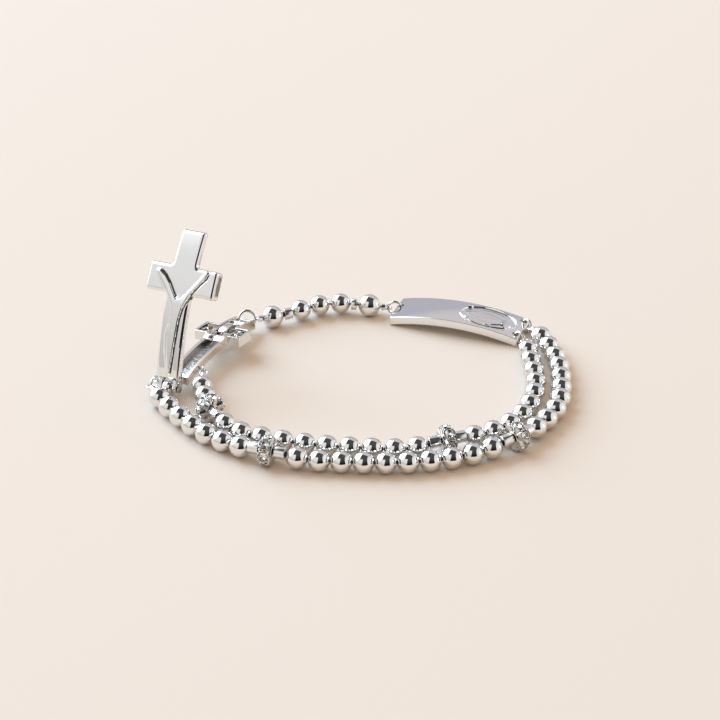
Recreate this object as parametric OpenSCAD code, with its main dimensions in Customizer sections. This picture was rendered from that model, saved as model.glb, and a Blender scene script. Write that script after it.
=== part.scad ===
// Rosary bracelet: two bead strands, an arched identity bar and a cross clasp,
// lying as an open loop with the lid of the clasp raised.
// X runs to the right, Y away from the front, Z up; the floor is z = 0.

/* [Beads] */
// Diameter of a small round bead
bead_d = 4; // [3.9:0.02:4]
// Diameter of the large beads at the ends of the back strand
big_bead_d = 4.4; // [4.2:0.1:4.6]
// Diameter of the bores for the thread
bore_d = 1.1; // [1:0.05:1.2]
// Diameter of the thread
thread_d = 0.4; // [0.36:0.02:0.44]
// Gap between neighbours on a thread
string_gap = 0.12; // [0.11:0.01:0.14]
// Number of beads in each run of the outer strand
outer_counts = [7, 10, 10];
// Number of beads in each run of the inner strand
inner_counts = [2, 10, 10];

/* [Spacers] */
// Outer diameter of a tube spacer
tube_d = 2.3; // [2:0.1:2.5]
// Length of a tube spacer beside a crystal rondelle
tube_l = 2; // [1.8:0.1:2.1]
// Length of the tube spacer in the back strand, next to the clasp
back_tube_l = 1.5; // [1.2:0.1:1.6]
// Length of the tube spacer in the back strand, next to the bar
short_tube_l = 1.1; // [0.9:0.1:1.2]

/* [Crystal rondelle] */
// Outer diameter over the stones
rondelle_d = 5.5; // [5.3:0.1:5.6]
// Width along the thread
rondelle_w = 2.8; // [2.6:0.1:2.9]
// Number of stones around the rim
stone_n = 6; // [6]
// Diameter of one stone
stone_d = 1.8; // [1.7:0.05:1.85]
// Outer diameter of one cup
cup_d = 2.36; // [2.3:0.02:2.4]

/* [Rings] */
// Mean radius of a small jump ring
ring_r = 1.3; // [1.25:0.05:1.35]
// Wire diameter of a small jump ring
ring_wire = 0.54; // [0.5:0.02:0.56]
// Mean radius of the ring at the tip of the clasp
tip_ring_r = 1.62; // [1.6:0.02:1.65]
// Wire diameter of the ring at the tip of the clasp
tip_ring_wire = 0.6; // [0.56:0.02:0.6]
// Mean radius of a strand's end eye
eye_r = 0.72; // [0.7:0.02:0.75]
// Wire diameter of a strand's end eye
eye_wire = 0.4; // [0.36:0.02:0.42]
// Outer diameter of the crimp behind an eye
crimp_d = 1.3; // [1.2:0.1:1.4]
// Length of a short crimp
crimp_l = 0.6; // [0.5:0.1:0.7]
// Length of a long crimp
long_crimp_l = 1.4; // [1.2:0.1:1.6]

/* [Identity bar] */
// Length of the bar along its chord
bar_l = 26.7; // [26.5:0.1:27]
// Width of the bar
bar_w = 8.75; // [8.5:0.05:9]
// Thickness of the bar
bar_t = 1.8; // [1.6:0.1:1.9]
// Rise of the arch over the chord
bar_sag = 1.7; // [1.6:0.1:1.8]
// Thickness left round the ring holes
bar_ear_t = 0.9; // [0.8:0.1:1]
// Diameter of the ring holes
bar_hole_d = 1.3; // [1.2:0.1:1.4]
// Length of the oval medallion
oval_l = 12; // [11:0.5:12.5]
// Width of the oval medallion
oval_w = 7.4; // [7:0.1:7.6]
// Height and width of the medallion's rim
oval_rim = [0.3, 0.45];

/* [Clasp base] */
// Distance from the hinge axis to the tip of the base
base_l = 29.4; // [29:0.1:29.8]
// Width of the shaft
base_shaft_w = 4.3; // [4.2:0.1:4.4]
// Span over the two side arms
base_span = 10.1; // [9.8:0.1:10.4]
// Width of a side arm along the shaft
base_arm_w = 4.9; // [4.7:0.1:5]
// Height of the base
base_h = 2.1; // [2:0.05:2.2]
// Rise of the base's arch
base_sag = 2; // [1.8:0.1:2.1]
// Thickness of the base's walls and floor
base_wall = 0.5; // [0.45:0.05:0.6]

/* [Clasp lid] */
// Start of the lid in front of the hinge axis
lid_start = 1.4; // [1.3:0.1:1.5]
// Distance from the hinge axis to the tip of the lid
lid_l = 30.1; // [30:0.1:30.3]
// Width of the shaft
lid_shaft_w = 5.2; // [5.1:0.1:5.3]
// Span over the two side arms
lid_span = 14.75; // [14.5:0.05:15]
// Width of a side arm along the shaft
lid_arm_w = 5.46; // [5.3:0.02:5.6]
// Distance from the hinge axis to the middle of the side arms
cross_mid = 20.46; // [20.4:0.02:20.6]
// Rise of the lid's arch
lid_sag = 1.8; // [1.7:0.1:1.9]
// Thickness of the lid's plate
lid_t = 0.8; // [0.7:0.05:0.85]
// Depth of the lid's rim, plate included
lid_rim_h = 1.2; // [1.1:0.05:1.3]
// Thickness of the lid's rim
lid_rim_t = 0.3; // [0.25:0.05:0.3]
// Depth of the slotted end walls of the side arms
lid_end_h = 2.3; // [2.1:0.1:2.4]
// Opening angle of the lid as it lies
lid_open = 60.8; // [50:0.2:70]

/* [Hinge] */
// Diameter of the hinge pin
pin_d = 0.9; // [0.8:0.05:0.95]
// Diameter of the bores for the pin
pin_bore_d = 1; // [1:0.02:1.05]
// Half width of the base's knuckle
knuckle_half = 1; // [0.9:0.05:1.05]
// Diameter of the base's rounded knuckle
knuckle_d = 3.4; // [3.2:0.1:3.5]
// Distances of a lid ear's two faces from the middle
ear_span = [1.15, 1.85];
// Diameter of a lid ear
ear_d = 2.6; // [2.4:0.1:2.7]

/* [Hidden] */
$fn = 48;

// Moves the layout so that the box round the whole part stands on the origin
shift = [0.18, 10.45, 0];

// Clasp frame: hinge centre, direction of the shaft and roll about it.
// In it x runs along the shaft, y to the left and z up.
hinge_at = [-36.1, -14.4, 2.2];
clasp_turn = 62.8;
clasp_roll = -3;

// Bar frame: middle of the chord and direction of the length
bar_at = [19.83, 13.67, 0];
bar_turn = -20;
bar_hole_inset = 0.85;
bar_hole_x = bar_l / 2 - bar_hole_inset;
bar_hole_y = 2.8;
bar_left_hole_y = 0.5;
bar_r = pow(bar_l / 2, 2) / (2 * bar_sag) + bar_sag / 2;
oval_at = 6.1;

// Distance between two linked rings' centres, drawn out but clear of each other
link_gap = 0.17;
function link_step(r1, w1, r2, w2) = r1 + r2 - (w1 + w2) / 2 - link_gap;
ring_to_eye = link_step(ring_r, ring_wire, eye_r, eye_wire);
tip_to_eye = link_step(tip_ring_r, tip_ring_wire, eye_r, eye_wire);

// Directions and places of the rings
function heading(a) = [cos(a), sin(a), 0];
function turn_z(p, a) = [p[0] * cos(a) - p[1] * sin(a), p[0] * sin(a) + p[1] * cos(a), p[2]];
function roll_x(p, a) = [p[0], p[1] * cos(a) - p[2] * sin(a), p[1] * sin(a) + p[2] * cos(a)];
function from_clasp(p) = hinge_at + turn_z(roll_x(p, clasp_roll), clasp_turn);
function from_bar(p) = bar_at + turn_z(p, bar_turn);

// Soldered loops on the base: centre and root in the clasp frame, and size
loop_r = 0.75;
loop_wire = 0.5;
left_loop = [1.5, 3.45, 0.1];
left_root = [3.3, 1.8, 0.1];
right_loop = [7.5, -3.05, 0.5];
right_root = [8.3, -1.8, 0.5];
right_loop_turn = -147;
loop_to_ring = link_step(loop_r, loop_wire, ring_r, ring_wire);
loop_to_eye = link_step(loop_r, loop_wire, eye_r, eye_wire);

ring_lift = 0.04;
ring_z = ring_r + ring_wire / 2 + ring_lift;
bar_ring_turns = [-50, -55];
left_bar_turn = 178;
ring_1_turn = clasp_turn - 180;
ring_1 = from_clasp(left_loop) + loop_to_ring * heading(ring_1_turn);
function flat(p, z) = [p[0], p[1], z];
ring_2 = flat(from_bar([bar_hole_x, -bar_hole_y, 0]) + ring_r * heading(bar_ring_turns[0]), ring_z);
ring_3 = flat(from_bar([bar_hole_x, bar_hole_y, 0]) + ring_r * heading(bar_ring_turns[1]), ring_z);
ring_4 = flat(from_bar([-bar_hole_x, bar_left_hole_y, 0]) + ring_r * heading(left_bar_turn), ring_z);

// Ring at the tip of the clasp: it leans back and holds the tip bar
tip_bar_d = 0.8;
tip_bar = [base_l - 0.4, 0, 0.2];
tip_ring_lean = 66;
tip_ring_turn = 16;
tip_slope = -12;
function in_tip_ring(x, y) = turn_z(roll_x([x, y, 0], tip_ring_lean), tip_ring_turn);
tip_ring_at = from_clasp(tip_bar) + in_tip_ring(0.5, 0.35);

// Ends of the strands: the centres of their eyes
eye_1 = ring_1 + ring_to_eye * heading(ring_1_turn);
eye_2 = ring_3 + ring_to_eye * heading(bar_ring_turns[1]);
eye_3 = from_clasp(right_loop) + loop_to_eye * heading(right_loop_turn + clasp_turn);
eye_4 = ring_2 + ring_to_eye * heading(bar_ring_turns[0]);
eye_5 = tip_ring_at + tip_to_eye * in_tip_ring(cos(tip_slope), sin(tip_slope));
eye_6 = ring_4 + ring_to_eye * heading(left_bar_turn);

// Strand paths: the eye, points chosen along the thread, the other eye
outer_way = concat([eye_1], [
    [-37.6, -18.3], [-33.3, -25], [-28.3, -31], [-21.8, -35.8], [-16.4, -38.3],
    [-10.7, -39.9], [-2.7, -40.8], [5.6, -41.1], [13.5, -40.2], [21, -37.8], [29, -33],
    [34, -26.8], [37.2, -20.5], [38.3, -13], [38.3, -5], [37, 1.9]
], [eye_2]);
inner_way = concat([eye_3], [
    [-30.1, -13.4], [-29.3, -17.4], [-28.5, -21.4], [-26.9, -25.2], [-24.2, -28.6],
    [-21, -31], [-15.6, -33], [-7.6, -35], [0.5, -36], [6.4, -36.4], [11, -35.9],
    [16, -34.3], [20.6, -32.3], [26, -29], [29.9, -24.7], [32.5, -18.5], [33.5, -11.5],
    [33.1, -5]
], [eye_4]);
back_way = concat([eye_5], [
    [-16.6, 14], [-13.8, 15.1], [-11.4, 16.7], [-7.9, 18.5], [-3.8, 19.2], [-0.9, 18.8],
    [2, 18.4]
], [eye_6]);

// Smooth curve through the points of a way: its points, at a few steps a span
spans = 6;
function pick(w, i) = w[max(0, min(len(w) - 1, i))];
function plane(p) = [p[0], p[1]];
function between(a, b, c, d, u) =
    b + u / 2 * (c - a) + u * u * (a - 2.5 * b + 2 * c - 0.5 * d)
    + u * u * u * (1.5 * (b - c) + 0.5 * (d - a));
function curve(w) = [
    for (i = [0 : len(w) - 2], k = [0 : spans - 1])
        between(plane(pick(w, i - 1)), plane(w[i]), plane(w[i + 1]), plane(pick(w, i + 2)), k / spans),
    plane(w[len(w) - 1])
];
function running(q) = [
    for (i = 0, s = 0; i < len(q); s = i + 1 < len(q) ? s + norm(q[i + 1] - q[i]) : s, i = i + 1) s
];
function axis_table(q, s, k) = [for (i = [0 : len(q) - 1]) [s[i], q[i][k]]];

// Places along a strand by length: first bead, runs, rondelles, last bead
unit_l = bead_d + 2 * tube_l + rondelle_w + 4 * string_gap;
eye_neck = 0.7;
end_gap = 1.6 * string_gap;
function end_l(crimp, d) = eye_neck + crimp + end_gap + d / 2;
function sum(v, n) = n <= 0 ? 0 : v[n - 1] + sum(v, n - 1);
function pitch(total, counts, ends) =
    (total - ends - unit_l * (len(counts) - 1)) / (sum(counts, len(counts)) - len(counts));
function run_start(g, counts, first, step) = first + (sum(counts, g) - g) * step + g * unit_l;
function unit_mid(g, counts, first, step) =
    run_start(g, counts, first, step) + (counts[g] - 1) * step + unit_l / 2;

// Height of the thread: the eyes' heights at the ends, lifted at the rondelles
rondelle_play = 0.05;
rondelle_lift = (rondelle_d - bead_d) / 2 + rondelle_play;
lift_flat = 3;
lift_reach = 7;
function lift_share(d) = min(max((d - lift_flat) / (lift_reach - lift_flat), 0), 1);
function lift(s, mids, i = 0) = i >= len(mids) ? 0 :
    rondelle_lift * (1 + cos(180 * lift_share(abs(s - mids[i])))) / 2 + lift(s, mids, i + 1);

// A strand: tables of x and y by length, length, heights, rondelle middles
function strand(way, first, last, rest, counts) =
    let (q = curve(way), s = running(q), total = s[len(s) - 1])
    let (step = len(counts) > 1 ? pitch(total, counts, first + last) : 0)
    let (mids = [for (g = [0 : 1 : len(counts) - 2]) unit_mid(g, counts, first, step)])
    let (z0 = way[0][2], z1 = way[len(way) - 1][2])
    [
        axis_table(q, s, 0), axis_table(q, s, 1), total,
        [[0, z0], [first, rest], [total - last, rest], [total, z1]],
        mids, step
    ];
function at(t, s) = [lookup(s, t[0]), lookup(s, t[1]), lookup(s, t[3]) + lift(s, t[4])];
probe = 0.4;
function along(t, s) =
    let (d = at(t, min(s + probe, t[2])) - at(t, max(s - probe, 0))) d / norm(d);

outer_first = end_l(long_crimp_l, bead_d);
outer_last = end_l(long_crimp_l, bead_d);
inner_first = end_l(crimp_l, bead_d);
inner_last = end_l(long_crimp_l, bead_d);
back_first = end_l(crimp_l, big_bead_d);
back_last = end_l(crimp_l, big_bead_d);
outer = strand(outer_way, outer_first, outer_last, bead_d / 2, outer_counts);
inner = strand(inner_way, inner_first, inner_last, bead_d / 2, inner_counts);
back = strand(back_way, back_first, back_last, big_bead_d / 2, [0]);

// Back strand: big bead, tube, three beads, short tube, big bead
back_gap = (back[2] - back_first - back_last - big_bead_d - back_tube_l - short_tube_l - 3 * bead_d) / 6;
back_tube_s = back_first + big_bead_d / 2 + back_gap + back_tube_l / 2;
back_bead_s = back_tube_s + back_tube_l / 2 + back_gap + bead_d / 2;
short_tube_s = back_bead_s + 2.5 * bead_d + 3 * back_gap + short_tube_l / 2;

// How far cutting solids reach past what they cut
over = 1;

// Turns z to the direction d and moves to p
module toward(p, d) {
    translate(p) rotate([0, acos(d[2]), atan2(d[1], d[0])]) children();
}
module on_strand(t, s) {
    toward(at(t, s), along(t, s)) children();
}
module in_clasp() {
    translate(hinge_at) rotate([0, 0, clasp_turn]) rotate([clasp_roll, 0, 0]) children();
}
module in_bar() {
    translate(bar_at) rotate([0, 0, bar_turn]) children();
}

module drilled_bead(d) {
    difference() {
        sphere(d = d);
        cylinder(h = d + over, d = bore_d, center = true);
    }
}
module drilled_tube(l) {
    difference() {
        cylinder(h = l, d = tube_d, center = true);
        cylinder(h = l + over, d = bore_d, center = true);
    }
}
module torus(r, wire) {
    rotate_extrude($fn = 72) translate([r, 0]) circle(d = wire, $fn = 24);
}

module run_beads(t, counts, first) {
    for (g = [0 : len(counts) - 1])
        for (k = [0 : counts[g] - 1])
            on_strand(t, run_start(g, counts, first, t[5]) + k * t[5]) drilled_bead(bead_d);
}
module outer_beads() {
    color("silver") translate(shift) run_beads(outer, outer_counts, outer_first);
}
module inner_beads() {
    color("silver") translate(shift) run_beads(inner, inner_counts, inner_first);
}
module back_beads() {
    color("silver") translate(shift) {
        on_strand(back, back_first) drilled_bead(big_bead_d);
        for (k = [0 : 2]) on_strand(back, back_bead_s + k * (bead_d + back_gap)) drilled_bead(bead_d);
        on_strand(back, back[2] - back_last) drilled_bead(big_bead_d);
    }
}

module unit_tubes(t) {
    for (mid = t[4])
        for (side = [-1, 1])
            on_strand(t, mid + side * (rondelle_w / 2 + string_gap + tube_l / 2)) drilled_tube(tube_l);
}
module outer_tubes() {
    color("silver") translate(shift) unit_tubes(outer);
}
module inner_tubes() {
    color("silver") translate(shift) unit_tubes(inner);
}
module back_tubes() {
    color("silver") translate(shift) {
        on_strand(back, back_tube_s) drilled_tube(back_tube_l);
        on_strand(back, short_tube_s) drilled_tube(short_tube_l);
    }
}

// Thread swept along a strand, from inside one crimp to inside the other
thread_sides = 8;
thread_step = 1.6;
thread_in = eye_neck + 0.35;
function ring_points(t, s) =
    let (d = along(t, s), side = cross([0, 0, 1], d), n = side / norm(side), up = cross(d, n))
    [for (k = [0 : thread_sides - 1])
        at(t, s) + thread_d / 2 * (cos(360 * k / thread_sides) * n + sin(360 * k / thread_sides) * up)];
module thread(t) {
    stops = ceil((t[2] - 2 * thread_in) / thread_step);
    step = (t[2] - 2 * thread_in) / stops;
    points = [for (i = [0 : stops]) each ring_points(t, thread_in + i * step)];
    last = stops * thread_sides;
    walls = [
        for (i = [0 : stops - 1], k = [0 : thread_sides - 1])
            let (a = i * thread_sides, m = (k + 1) % thread_sides)
            [a + k, a + thread_sides + k, a + thread_sides + m, a + m]
    ];
    caps = [
        [for (k = [0 : thread_sides - 1]) k],
        [for (k = [0 : thread_sides - 1]) last + thread_sides - 1 - k]
    ];
    polyhedron(points = points, faces = concat(walls, caps), convexity = 10);
}
module outer_thread() {
    color("gray") translate(shift) thread(outer);
}
module inner_thread() {
    color("gray") translate(shift) thread(inner);
}
module back_wire() {
    color("gray") translate(shift) thread(back);
}

// Rondelle: drilled hub, a cup for each stone and prongs. Prongs in the gaps and
// beside the cups: diameter, and distances from the thread and from the middle
stone_top = rondelle_d / 2;
cup_top = stone_top - 0.34;
seat_depth = 0.62;
seat_play = 0.22;
hub_d = 2.5;
hub_w = rondelle_w - 0.4;
gap_prong_d = 0.5;
gap_prong_at = [cup_top - 0.12, 0.72];
side_prong_d = 0.42;
side_prong_at = [cup_top + 0.05, cup_d / 2 + 0.02];
module around_rim(offset_angle = 0) {
    for (k = [0 : stone_n - 1]) rotate([0, 0, (k + offset_angle) * 360 / stone_n]) children();
}
module setting(t, g) {
    color("silver") translate(shift) on_strand(t, t[4][g]) difference() {
        union() {
            cylinder(h = hub_w, d = hub_d, center = true);
            around_rim() rotate([0, 90, 0]) cylinder(h = cup_top, d = cup_d);
            around_rim(0.5) for (side = [-1, 1])
                translate([gap_prong_at[0], 0, side * gap_prong_at[1]]) sphere(d = gap_prong_d, $fn = 24);
            around_rim() for (side = [-1, 1])
                translate([side_prong_at[0], 0, side * side_prong_at[1]]) sphere(d = side_prong_d, $fn = 24);
        }
        cylinder(h = rondelle_w + over, d = bore_d, center = true);
        around_rim() translate([cup_top - seat_depth, 0, 0])
            rotate([0, 90, 0]) cylinder(h = seat_depth + over, d = stone_d + seat_play);
    }
}

// Cut stone on its axis: table at z = 0, rim below it, point at the bottom
stone_sides = 8;
table_r = stone_d * 0.29;
rim_z = [-0.3, -0.4];
point_z = -0.84;
function stone_ring(r, z, turn) = [
    for (k = [0 : stone_sides - 1])
        [r * cos((k + turn) * 360 / stone_sides), r * sin((k + turn) * 360 / stone_sides), z]
];
module cut_stone() {
    points = concat(
        stone_ring(table_r, 0, 0.5), stone_ring(stone_d / 2, rim_z[0], 0),
        stone_ring(stone_d / 2, rim_z[1], 0), [[0, 0, point_z]]
    );
    n = stone_sides;
    faces = concat(
        [[for (k = [0 : n - 1]) n - 1 - k]],
        [for (k = [0 : n - 1]) [k, n + (k + 1) % n, n + k]],
        [for (k = [0 : n - 1]) [k, (k + 1) % n, n + (k + 1) % n]],
        [for (k = [0 : n - 1]) [n + k, n + (k + 1) % n, 2 * n + (k + 1) % n, 2 * n + k]],
        [for (k = [0 : n - 1]) [2 * n + k, 2 * n + (k + 1) % n, 3 * n]]
    );
    polyhedron(points = points, faces = faces);
}
module stones(t, g) {
    color("lightcyan") translate(shift) on_strand(t, t[4][g])
        around_rim() translate([stone_top, 0, 0]) rotate([0, 90, 0]) cut_stone();
}

module crystal_setting_1() { setting(outer, 0); }
module crystal_setting_2() { setting(outer, 1); }
module crystal_setting_3() { setting(inner, 0); }
module crystal_setting_4() { setting(inner, 1); }
module crystal_stones_1() { stones(outer, 0); }
module crystal_stones_2() { stones(outer, 1); }
module crystal_stones_3() { stones(inner, 0); }
module crystal_stones_4() { stones(inner, 1); }

// End of a strand: an eye that lies flat, with a crimp round the thread's end.
// Distances of the crimp's start and of its bore's floor from the eye's middle
crimp_start = 0.62;
crimp_floor = thread_in - 0.15;
crimp_bore_d = bore_d - 0.3;
module end_eye(t, from_start, crimp, roll = 0) {
    d = from_start ? along(t, eye_neck) : -along(t, t[2] - eye_neck);
    p = from_start ? at(t, 0) : at(t, t[2]);
    color("silver") translate(shift) {
        difference() {
            union() {
                toward(p, d) rotate([0, 0, roll]) rotate([0, 90, 0]) torus(eye_r, eye_wire);
                toward(p + crimp_start * d, d) cylinder(h = crimp + eye_neck - crimp_start, d = crimp_d);
            }
            toward(p + crimp_floor * d, d) cylinder(h = crimp + over, d = crimp_bore_d);
        }
    }
}
module end_eye_1() { end_eye(outer, true, long_crimp_l); }
module end_eye_2() { end_eye(outer, false, long_crimp_l); }
module end_eye_3() { end_eye(inner, true, crimp_l); }
module end_eye_4() { end_eye(inner, false, long_crimp_l); }
module end_eye_5() { end_eye(back, true, crimp_l, tip_ring_lean - 90); }
module end_eye_6() { end_eye(back, false, crimp_l); }

// Upright jump ring with its plane along a heading
module jump_ring(p, turn) {
    color("silver") translate(shift + p) rotate([90, 0, turn]) torus(ring_r, ring_wire);
}
module jump_ring_1() { jump_ring(ring_1, ring_1_turn); }
module jump_ring_2() { jump_ring(ring_2, bar_ring_turns[0]); }
module jump_ring_3() { jump_ring(ring_3, bar_ring_turns[1]); }
module jump_ring_4() { jump_ring(ring_4, left_bar_turn); }
module tip_ring() {
    color("silver") translate(shift + tip_ring_at) rotate([tip_ring_lean, 0, tip_ring_turn])
        torus(tip_ring_r, tip_ring_wire);
}

// Solid bounded above by an arch with its top at x = mid, z = top
module under_arch(mid, top, r, width) {
    translate([mid, 0, top - r]) rotate([90, 0, 0]) cylinder(h = width, r = r, center = true, $fn = 360);
}
module arched(mid, top, r, t, width) {
    difference() {
        under_arch(mid, top, r, width);
        under_arch(mid, top - t, r - t, width + over);
    }
}

// Outline with its corners rounded: each corner is [x, y, radius]
corner_steps = 6;
function rounded(c) = [
    for (i = [0 : len(c) - 1])
        let (p = plane(c[i]), a = plane(pick_ring(c, i - 1)) - p, b = plane(pick_ring(c, i + 1)) - p)
        let (ua = a / norm(a), ub = b / norm(b), half = acos(ua * ub) / 2, r = c[i][2])
        let (mid = p + (ua + ub) / norm(ua + ub) * r / sin(half))
        let (from = p + ua * r / tan(half) - mid, to = p + ub * r / tan(half) - mid)
        for (k = [0 : corner_steps])
            let (u = k / corner_steps, w = 180 - 2 * half)
            mid + (r == 0 ? [0, 0] : (sin((1 - u) * w) * from + sin(u * w) * to) / sin(w))
];
function pick_ring(c, i) = c[(i + len(c)) % len(c)];

// Identity bar: arched plate with square ends, ring holes and an oval rim. The
// ears round the holes are cut thinner from below, over ear_cut and out to the end
bar_top = bar_sag + bar_t;
bar_corner = 0.5;
ear_cut = [3.2, 2.6];
ear_cut_out = 0.7;
ear_under = ring_z - bar_ear_t / 2;
oval_root = 0.4;
bar_outline = rounded([
    for (c = [[-1, -1], [1, -1], [1, 1], [-1, 1]]) [c[0] * bar_l / 2, c[1] * bar_w / 2, bar_corner]
]);
bar_holes = [
    [bar_hole_x, -bar_hole_y], [bar_hole_x, bar_hole_y], [-bar_hole_x, bar_left_hole_y]
];
oval_sides = 48;
function oval(grow) = [
    for (k = [0 : oval_sides - 1])
        [oval_at + (oval_l / 2 + grow) * cos(360 * k / oval_sides),
         (oval_w / 2 + grow) * sin(360 * k / oval_sides)]
];
module id_bar() {
    color("silver") translate(shift) in_bar() {
        difference() {
            intersection() {
                arched(0, bar_top, bar_r + bar_t, bar_t, bar_w + 2 * over);
                translate([0, 0, -over]) linear_extrude(bar_top + 2 * over) polygon(bar_outline);
            }
            for (h = bar_holes) {
                translate([h[0], h[1], -over]) cylinder(h = bar_top + 2 * over, d = bar_hole_d);
                translate([h[0] + sign(h[0]) * ear_cut_out, h[1], 0])
                    cube([ear_cut[0], ear_cut[1], 2 * ear_under], center = true);
            }
        }
        intersection() {
            arched(0, bar_top + oval_rim[0], bar_r + bar_t + oval_rim[0], oval_rim[0] + oval_root, bar_w);
            linear_extrude(bar_top + 2 * over) difference() {
                polygon(oval(0));
                polygon(oval(-oval_rim[1]));
            }
        }
    }
}

// Cross outline: start and tip of the shaft, half widths and the arms' place
function cross_outline(x0, x1, half, arm_half, arm_w, r_out, r_in) = rounded([
    [x0, -half, r_out], [cross_mid - arm_w / 2, -half, r_in],
    [cross_mid - arm_w / 2, -arm_half, r_out], [cross_mid + arm_w / 2, -arm_half, r_out],
    [cross_mid + arm_w / 2, -half, r_in], [x1, -half, r_out],
    [x1, half, r_out], [cross_mid + arm_w / 2, half, r_in],
    [cross_mid + arm_w / 2, arm_half, r_out], [cross_mid - arm_w / 2, arm_half, r_out],
    [cross_mid - arm_w / 2, half, r_in], [x0, half, r_out]
]);

// Bottom and height of a slab cut to an outline, and length of a cut for the pin
slab_z = -3;
slab_h = 9;
pin_cut_l = 8;
module slab(outline) {
    translate([0, 0, slab_z]) linear_extrude(slab_h) polygon(outline);
}

// Base of the clasp: arched tray in the form of a cross, with the middle
// knuckle of the hinge, two soldered loops and a round bar at its tip
base_mid = base_l / 2;
base_end_z = 0.75;
base_top = base_end_z + base_sag;
base_r = pow(base_mid, 2) / (2 * base_sag) + base_sag / 2;
base_start = 3;
base_corner = 0.25;

// The hollow of the tray: its two ends and its corners, the opening through the
// floor between the arms, and the gap in the walls and floor before the tip bar
hollow_x = [base_start + 1, base_l - 3.4];
hollow_corner = 0.1;
window = [3.2, base_shaft_w - 2];
tip_gap = [base_l - 2.9, base_l + 0.5];
tip_bar_l = base_shaft_w - 0.3;

// Low walls across the roots of the arms, the neck below the knuckle, and stems
divider_l = 4.4;
divider_drop = 0.5;
neck = [base_start + 0.6, 2 * knuckle_half - 0.3, 1.5];
neck_z = -1.1;
stem_d = 0.4;
module soldered_loop(p, turn, upright) {
    translate(p) rotate([upright ? 90 : 0, 0, turn]) torus(loop_r, loop_wire);
}
module stem(root, loop) {
    reach = norm(loop - root);
    toward(root, (loop - root) / reach) cylinder(h = reach - loop_r, d = stem_d);
}
module clasp_base() {
    half = base_shaft_w / 2;
    arm_half = base_span / 2;
    color("silver") translate(shift) in_clasp() difference() {
        union() {
            difference() {
                intersection() {
                    arched(base_mid, base_top, base_r, base_h, base_span + 2 * over);
                    slab(cross_outline(base_start, base_l, half, arm_half, base_arm_w,
                        base_corner, base_corner));
                }
                difference() {
                    slab(cross_outline(hollow_x[0], hollow_x[1], half - base_wall, arm_half - base_wall,
                        base_arm_w - 2 * base_wall, hollow_corner, hollow_corner));
                    under_arch(base_mid, base_top - base_h + base_wall, base_r - base_h + base_wall,
                        base_span);
                }
                translate([cross_mid - window[0] / 2, -window[1] / 2, slab_z])
                    cube([window[0], window[1], slab_h]);
                translate([tip_gap[0], base_wall - half, slab_z])
                    cube([tip_gap[1] - tip_gap[0], base_shaft_w - 2 * base_wall, slab_h]);
            }
            translate(tip_bar) rotate([90, 0, 0]) cylinder(h = tip_bar_l, d = tip_bar_d, center = true);
            for (side = [-1, 1]) intersection() {
                arched(base_mid, base_top - divider_drop, base_r - divider_drop,
                    base_h - divider_drop - 0.1, base_span);
                translate([cross_mid - divider_l / 2, side * (half - base_wall / 2) - base_wall / 2, slab_z])
                    cube([divider_l, base_wall, slab_h]);
            }
            intersection() {
                sphere(d = knuckle_d);
                cube([knuckle_d + over, 2 * knuckle_half, knuckle_d + over], center = true);
            }
            translate([0, -neck[1] / 2, neck_z]) cube(neck);
            soldered_loop(left_loop, 0, false);
            stem(left_root, left_loop);
            soldered_loop(right_loop, right_loop_turn, true);
            stem(right_root, right_loop);
        }
        rotate([90, 0, 0]) cylinder(h = pin_cut_l, d = pin_bore_d, center = true);
    }
}

// Lid of the clasp: arched cross plate with a rim, slotted arm ends and ears.
// Corner radii, outside and inside ones, of the plate and of the hollow in the rim
lid_mid = 15.76;
lid_end_z = 1.73;
lid_top = lid_end_z + lid_sag;
lid_r = pow(lid_mid - lid_start, 2) / (2 * lid_sag) + lid_sag / 2;
lid_corners = [0.5, 0.6];
lid_hollow_corners = [0.2, 0.8];
lid_end_t = 0.8;
lid_slot = [3.6, 1];
lid_slot_z = lid_top - lid_end_h + 0.25;
ear_l = 2.6;
knuckle_room = [0.2, 0.3];
module in_lid() {
    in_clasp() rotate([0, -lid_open, 0]) children();
}
module lid_plan(inset, corners) {
    slab(cross_outline(lid_start + inset, lid_l - inset, lid_shaft_w / 2 - inset,
        lid_span / 2 - inset, lid_arm_w - 2 * inset, corners[0], corners[1]));
}
module lid_ear(side) {
    w = ear_span[1] - ear_span[0];
    translate([0, side * (ear_span[0] + w / 2), 0]) {
        rotate([90, 0, 0]) cylinder(h = w, d = ear_d, center = true);
        translate([0, -w / 2, 0]) cube([ear_l, w, ear_d / 2]);
    }
}
module clasp_lid() {
    color("silver") translate(shift) in_lid() difference() {
        union() {
            intersection() {
                arched(lid_mid, lid_top, lid_r, lid_t, lid_span + 2 * over);
                lid_plan(0, lid_corners);
            }
            difference() {
                intersection() {
                    arched(lid_mid, lid_top, lid_r, lid_rim_h, lid_span + 2 * over);
                    lid_plan(0, lid_corners);
                }
                lid_plan(lid_rim_t, lid_hollow_corners);
            }
            for (side = [-1, 1]) intersection() {
                arched(lid_mid, lid_top, lid_r, lid_end_h, lid_span + 2 * over);
                lid_plan(0, lid_corners);
                translate([
                    cross_mid - lid_arm_w / 2,
                    side * (lid_span / 2 - lid_end_t / 2) - lid_end_t / 2,
                    slab_z
                ]) cube([lid_arm_w, lid_end_t, slab_h]);
            }
            for (side = [-1, 1]) lid_ear(side);
        }
        translate([cross_mid - lid_slot[0] / 2, -lid_span, lid_slot_z])
            cube([lid_slot[0], 2 * lid_span, lid_slot[1]]);
        rotate([90, 0, 0]) cylinder(h = pin_cut_l, d = pin_bore_d, center = true);
        rotate([90, 0, 0]) cylinder(h = 2 * knuckle_half + knuckle_room[0],
            d = knuckle_d + knuckle_room[1], center = true);
    }
}

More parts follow.
